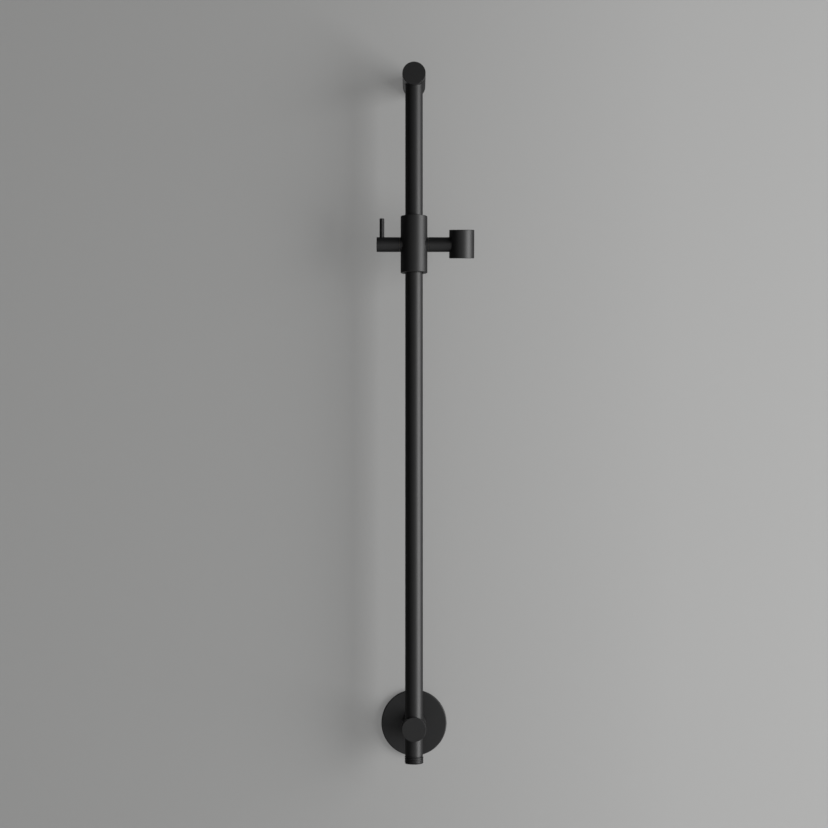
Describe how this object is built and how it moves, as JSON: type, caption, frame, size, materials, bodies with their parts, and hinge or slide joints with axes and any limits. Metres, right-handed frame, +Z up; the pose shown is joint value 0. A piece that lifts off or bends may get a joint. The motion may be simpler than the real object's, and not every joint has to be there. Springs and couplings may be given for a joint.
{
  "type": "shower slide rail",
  "caption": "Matte black round shower rail between two wall posts, with a water outlet below and a lever-locked slider that carries a tilting handset cup.",
  "frame": {"origin": "centre of the lower wall flange and water inlet, on the wall plane", "axes": "+X to the right seen from the room, +Y into the wall, +Z up along the rail"},
  "size_m": [0.1112, 0.0666, 0.7935],
  "materials": {
    "black_metal": "matte black powder coat",
    "brass": "turned",
    "screw_steel": "plain stainless",
    "seal_rubber": "moulded",
    "bush_nylon": "natural nylon",
    "valve_plastic": "moulded acetal",
    "liner_plastic": "moulded black"
  },
  "bodies": {
    "wall_rail": {"rail_tube": "black_metal", "upper_post": "black_metal", "upper_wall_boss": "brass", "upper_post_screw": "screw_steel", "rail_lock_screw": "screw_steel", "lower_post": "black_metal", "rail_foot_screw": "screw_steel", "wall_flange": "black_metal", "flange_seal": "seal_rubber", "inlet_washer": "seal_rubber", "outlet_nipple": "black_metal", "outlet_seal": "seal_rubber", "check_valve_body": "valve_plastic", "check_valve_seal": "seal_rubber", "check_valve_spring": "screw_steel"},
    "valve_poppet": {"check_valve_poppet": "valve_plastic"},
    "slider_guide": {"upper_bush": "bush_nylon", "lower_bush": "bush_nylon"},
    "slider": {"slider_sleeve": "black_metal", "knob_journal": "brass", "knob_snap_ring": "screw_steel", "holder_spindle": "brass", "tilt_seal": "seal_rubber", "tilt_washer": "screw_steel", "tilt_screw": "screw_steel"},
    "lock": {"lock_knob": "black_metal", "lever_pin": "black_metal"},
    "brake": {"brake_plunger": "brass", "brake_pad": "bush_nylon"},
    "holder": {"handset_holder": "black_metal", "holder_liner": "liner_plastic"}
  },
  "joints": [
    {"name": "slider_travel", "type": "slide", "parent": "wall_rail", "child": "slider_guide", "axis": [0, 0, 1], "range_m": [-0.4993, 0.1477]},
    {"name": "slider_swivel", "type": "hinge", "parent": "slider_guide", "child": "slider", "pos_m": [0, -0.05, 0.54685], "axis": [0, 0, -1], "range_deg": [-30, 210]},
    {"name": "knob_turn", "type": "hinge", "parent": "slider", "child": "lock", "pos_m": [-0.03, -0.05, 0.54685], "axis": [1, 0, 0], "range_deg": [0, 90]},
    {"name": "brake_travel", "type": "slide", "parent": "slider", "child": "brake", "axis": [-1, 0, 0], "range_m": [0, 0.000374]},
    {"name": "holder_tilt", "type": "hinge", "parent": "slider", "child": "holder", "pos_m": [0.05435, -0.05, 0.54685], "axis": [1, 0, 0], "continuous": true},
    {"name": "valve_open", "type": "slide", "parent": "wall_rail", "child": "valve_poppet", "axis": [0, 0, -1], "range_m": [0, 0.0025], "stiffness_N_per_m": 200, "springref_m": -0.002, "deforming": ["check_valve_spring"]}
  ],
  "couplings": [
    {"joint": "knob_turn", "follows": "brake_travel", "rad_per_m": 4188.8}
  ]
}
